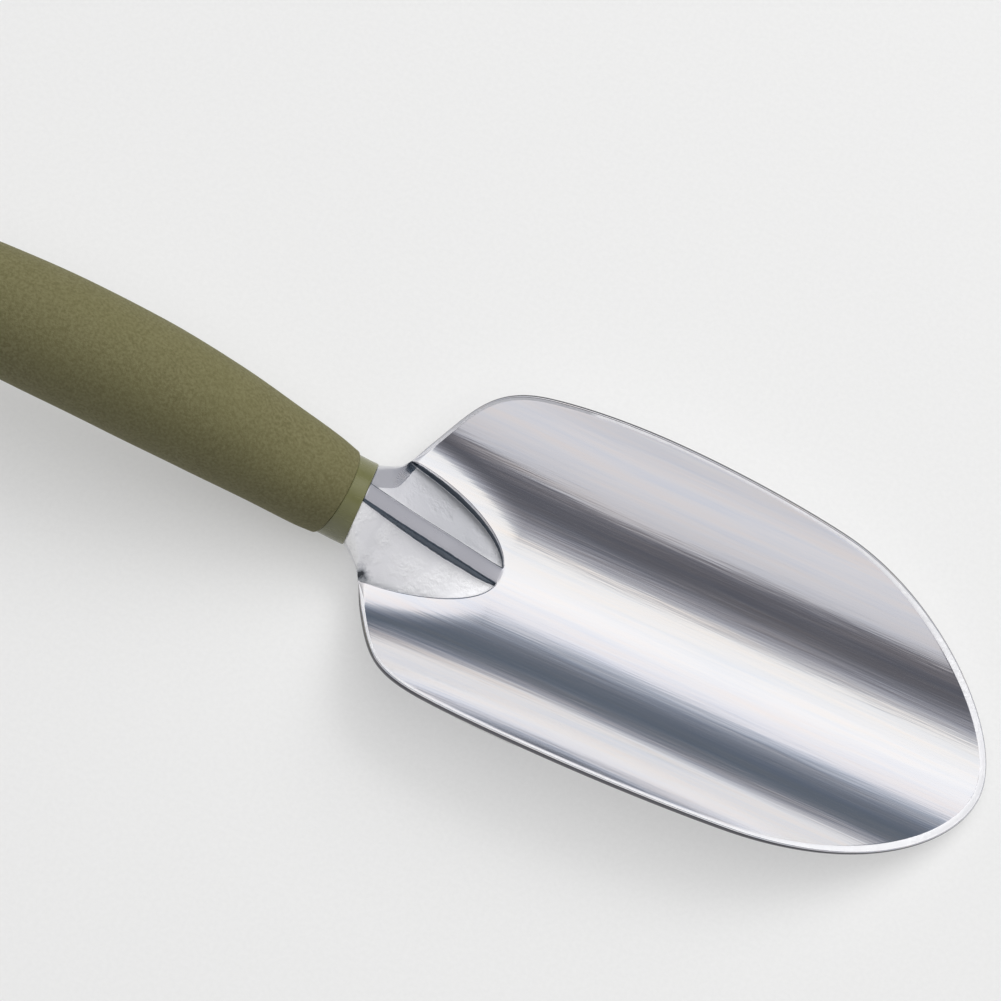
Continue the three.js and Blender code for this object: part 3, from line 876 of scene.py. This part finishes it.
def head_relief(n, marks, streaks, strokes, grains, patches):
    """Long shallow polishing strokes, and fine pits where the skin is as cast."""
    bent = n.bump(n.noise(120, 3, 0.5, (0.07, 1, 1)), 0.32, 0.00022)
    stroked = n.bump(strokes, 0.5, 0.00006, bent)
    scratched = n.bump(streaks, 0.5, 0.00002, stroked)
    spotted = n.multiply(grains, n.map_range(patches, 0.48, 0.62, 0.15, 1.0))
    pitted = n.bump(spotted, 0.6, 0.0004)
    return n.blend_vector(marks.cast, scratched, pitted)


def cast_and_polished_aluminium():
    n = Nodes("cast_and_polished_aluminium")
    streaks = n.noise(1500, 3, 0.6, (0.03, 1, 1))
    strokes = n.noise(430, 4, 0.6, (0.04, 1, 1))
    grains = n.noise(1100, 3, 0.6)
    patches = n.noise(150, 3, 0.5)
    marks = HeadMarks(n, n.noise(520, 3, 0.6))
    n.set(Base_Color=head_colour(n, marks, strokes, patches))
    n.set(Metallic=n.map_range(marks.cast, 0, 1, 1.0, 0.5))
    n.set(Roughness=head_roughness(n, marks, streaks, strokes, grains))
    n.set(Normal=head_relief(n, marks, streaks, strokes, grains, patches))
    return n.material


def glossy_olive_plastic():
    n = Nodes("glossy_olive_plastic")
    clouds = n.noise(160, 3, 0.5)
    scuffs = n.noise(700, 4, 0.6, (0.2, 1, 1))
    colour = n.ramp(clouds, [(0.3, (0.138, 0.138, 0.050)), (0.7, (0.160, 0.160, 0.060))])
    rough = n.map_range(scuffs, 0.35, 0.7, 0.20, 0.32)
    n.set(Base_Color=colour, Roughness=rough, Normal=n.bump(clouds, 0.06, 0.0002))
    n.set(Specular_IOR_Level=0.7)
    return n.material


def soft_olive_grip():
    n = Nodes("soft_olive_grip")
    grain = n.noise(2600, 3, 0.6)
    specks = n.noise(1500, 2, 0.5)
    clouds = n.noise(70, 3, 0.5)
    dark = (0.118, 0.108, 0.046)
    light = (0.185, 0.172, 0.085)
    speckled = n.ramp(specks, [(0.34, dark), (0.66, light)])
    colour = n.mix_colour(n.map_range(clouds, 0.3, 0.7, 0.1, 0.4), speckled, (0.15, 0.142, 0.06))
    n.set(Base_Color=colour, Roughness=n.map_range(grain, 0.3, 0.7, 0.62, 0.85))
    n.set(Normal=n.bump(grain, 0.6, 0.00016))
    n.set(Specular_IOR_Level=0.35)
    return n.material


def paper_floor():
    n = Nodes("paper_floor")
    fibres = n.noise(900, 3, 0.6)
    colour = n.ramp(fibres, [(0.35, (0.435, 0.435, 0.432)), (0.65, (0.455, 0.455, 0.452))])
    n.set(Base_Color=colour, Roughness=0.9)
    n.set(Emission_Color=(1.0, 1.0, 1.0, 1.0), Emission_Strength=0.375)
    return n.material


# ----------------------------------------------------------------------- camera and studio
CAMERA_AIM = (0.0166, 0.0194, 0.0)
CAMERA_AZIMUTH = -93.05
CAMERA_ELEVATION = 67.78
CAMERA_DISTANCE = 1.0132
CAMERA_ROLL = 26.94
CAMERA_LENS = 154.65
CAMERA_SENSOR = 36.0
LIGHT_DISTANCE = 2.2
FLOOR_HALF = 6.0


def make_camera():
    azimuth = math.radians(CAMERA_AZIMUTH)
    elevation = math.radians(CAMERA_ELEVATION)
    away = Vector((
        math.cos(elevation) * math.cos(azimuth),
        math.cos(elevation) * math.sin(azimuth),
        math.sin(elevation),
    ))
    data = bpy.data.cameras.new("camera")
    data.lens = CAMERA_LENS
    data.sensor_width = CAMERA_SENSOR
    data.clip_end = 50
    camera = bpy.data.objects.new("camera", data)
    camera.location = Vector(CAMERA_AIM) + away * CAMERA_DISTANCE
    level = (-away).to_track_quat("-Z", "Y")
    roll = Quaternion((0, 0, 1), math.radians(CAMERA_ROLL))
    camera.rotation_mode = "QUATERNION"
    camera.rotation_quaternion = level @ roll
    bpy.context.scene.collection.objects.link(camera)
    bpy.context.scene.camera = camera


def make_floor():
    mesh = bpy.data.meshes.new("floor")
    half = FLOOR_HALF
    corners = [(-half, -half, 0), (half, -half, 0), (half, half, 0), (-half, half, 0)]
    mesh.from_pydata(corners, [], [(0, 1, 2, 3)])
    floor = bpy.data.objects.new("floor", mesh)
    bpy.context.scene.collection.objects.link(floor)
    floor.data.materials.append(paper_floor())


def area_light(name, angle, spin, size, power):
    """A square light over the trowel, unseen in reflections: angle is its tilt from overhead,
    and spin turns that tilt from +Y towards +X, both in degrees."""
    data = bpy.data.lights.new(name, "AREA")
    data.shape = "RECTANGLE"
    data.size = size
    data.size_y = size
    data.energy = power
    light = bpy.data.objects.new(name, data)
    tilt = math.radians(angle)
    turn = math.radians(spin)
    toward = Vector((
        math.sin(tilt) * math.sin(turn),
        math.sin(tilt) * math.cos(turn),
        math.cos(tilt),
    ))
    light.location = toward * LIGHT_DISTANCE
    light.rotation_mode = "QUATERNION"
    light.rotation_quaternion = (-toward).to_track_quat("-Z", "X")
    light.visible_glossy = False
    light.visible_camera = False
    bpy.context.scene.collection.objects.link(light)


# Colour of the studio by the angle from overhead, in degrees towards +Y
STUDIO_BANDS = [
    (-90, (0.85, 0.85, 0.86)), (-66, (0.72, 0.72, 0.74)), (-60, (0.64, 0.63, 0.66)),
    (-50, (0.73, 0.72, 0.75)), (-38, (0.69, 0.68, 0.71)), (-27, (0.60, 0.59, 0.62)),
    (-22.5, (0.16, 0.155, 0.175)), (-15, (0.095, 0.097, 0.115)), (-9, (0.14, 0.14, 0.16)),
    (-4.6, (0.24, 0.24, 0.27)), (-1, (0.40, 0.40, 0.44)), (2, (0.55, 0.56, 0.60)),
    (4, (0.95, 0.93, 0.91)), (22, (1.04, 1.03, 1.04)), (34, (0.92, 0.91, 0.95)),
    (39, (0.84, 0.83, 0.88)), (41.5, (0.50, 0.53, 0.60)), (46.5, (0.24, 0.265, 0.32)),
    (52.5, (0.13, 0.15, 0.19)), (59.5, (0.11, 0.13, 0.16)), (65.5, (0.16, 0.18, 0.22)),
    (69.5, (0.38, 0.38, 0.42)), (75, (0.84, 0.83, 0.84)), (83, (0.80, 0.79, 0.81)),
    (90, (0.85, 0.85, 0.86)),
]
SIDE_SHADE = (0.50, 0.50, 0.53)    # towards both ends of the trowel


def make_world():
    world = bpy.data.worlds.new("studio")
    bpy.context.scene.world = world
    world.use_nodes = True
    tree = world.node_tree
    new = tree.nodes.new
    place = new("ShaderNodeTexCoord")
    parts = new("ShaderNodeSeparateXYZ")
    tree.links.new(place.outputs["Generated"], parts.inputs["Vector"])
    angle = new("ShaderNodeMath")
    angle.operation = "ARCTAN2"
    tree.links.new(parts.outputs["Y"], angle.inputs[0])
    tree.links.new(parts.outputs["Z"], angle.inputs[1])
    share = new("ShaderNodeMapRange")
    share.inputs["From Min"].default_value = -math.pi / 2
    share.inputs["From Max"].default_value = math.pi / 2
    tree.links.new(angle.outputs[0], share.inputs["Value"])
    ramp = new("ShaderNodeValToRGB")
    elements = ramp.color_ramp.elements
    while len(elements) < len(STUDIO_BANDS):
        elements.new(0.5)
    for element, (degrees, shade) in zip(elements, STUDIO_BANDS):
        element.position = (degrees + 90) / 180
        element.color = (*shade, 1)
    tree.links.new(share.outputs["Result"], ramp.inputs["Fac"])
    aside = new("ShaderNodeMath")
    aside.operation = "ABSOLUTE"
    tree.links.new(parts.outputs["X"], aside.inputs[0])
    fade = new("ShaderNodeMapRange")
    fade.inputs["From Min"].default_value = 0.3
    fade.inputs["From Max"].default_value = 0.62
    tree.links.new(aside.outputs[0], fade.inputs["Value"])
    mix = new("ShaderNodeMix")
    mix.data_type = "RGBA"
    tree.links.new(fade.outputs["Result"], mix.inputs["Factor"])
    tree.links.new(ramp.outputs["Color"], mix.inputs[6])
    mix.inputs[7].default_value = (*SIDE_SHADE, 1)
    tree.links.new(mix.outputs[2], tree.nodes["Background"].inputs["Color"])
    world.cycles_visibility.diffuse = False


def make_lights():
    area_light("overhead", 8, 30, 3.6, 62.0)
    area_light("key", 48, 25, 1.6, 26.0)


# --------------------------------------------------------------------------------- assembly
make_camera()
make_world()
make_lights()
make_floor()
finish_piece(trowel_head(), "trowel_head", cast_and_polished_aluminium())
finish_piece(handle_core(), "handle_core", glossy_olive_plastic())
finish_piece(grip_sleeve(), "grip_sleeve", soft_olive_grip())

bpy.context.scene.view_settings.view_transform = "Standard"
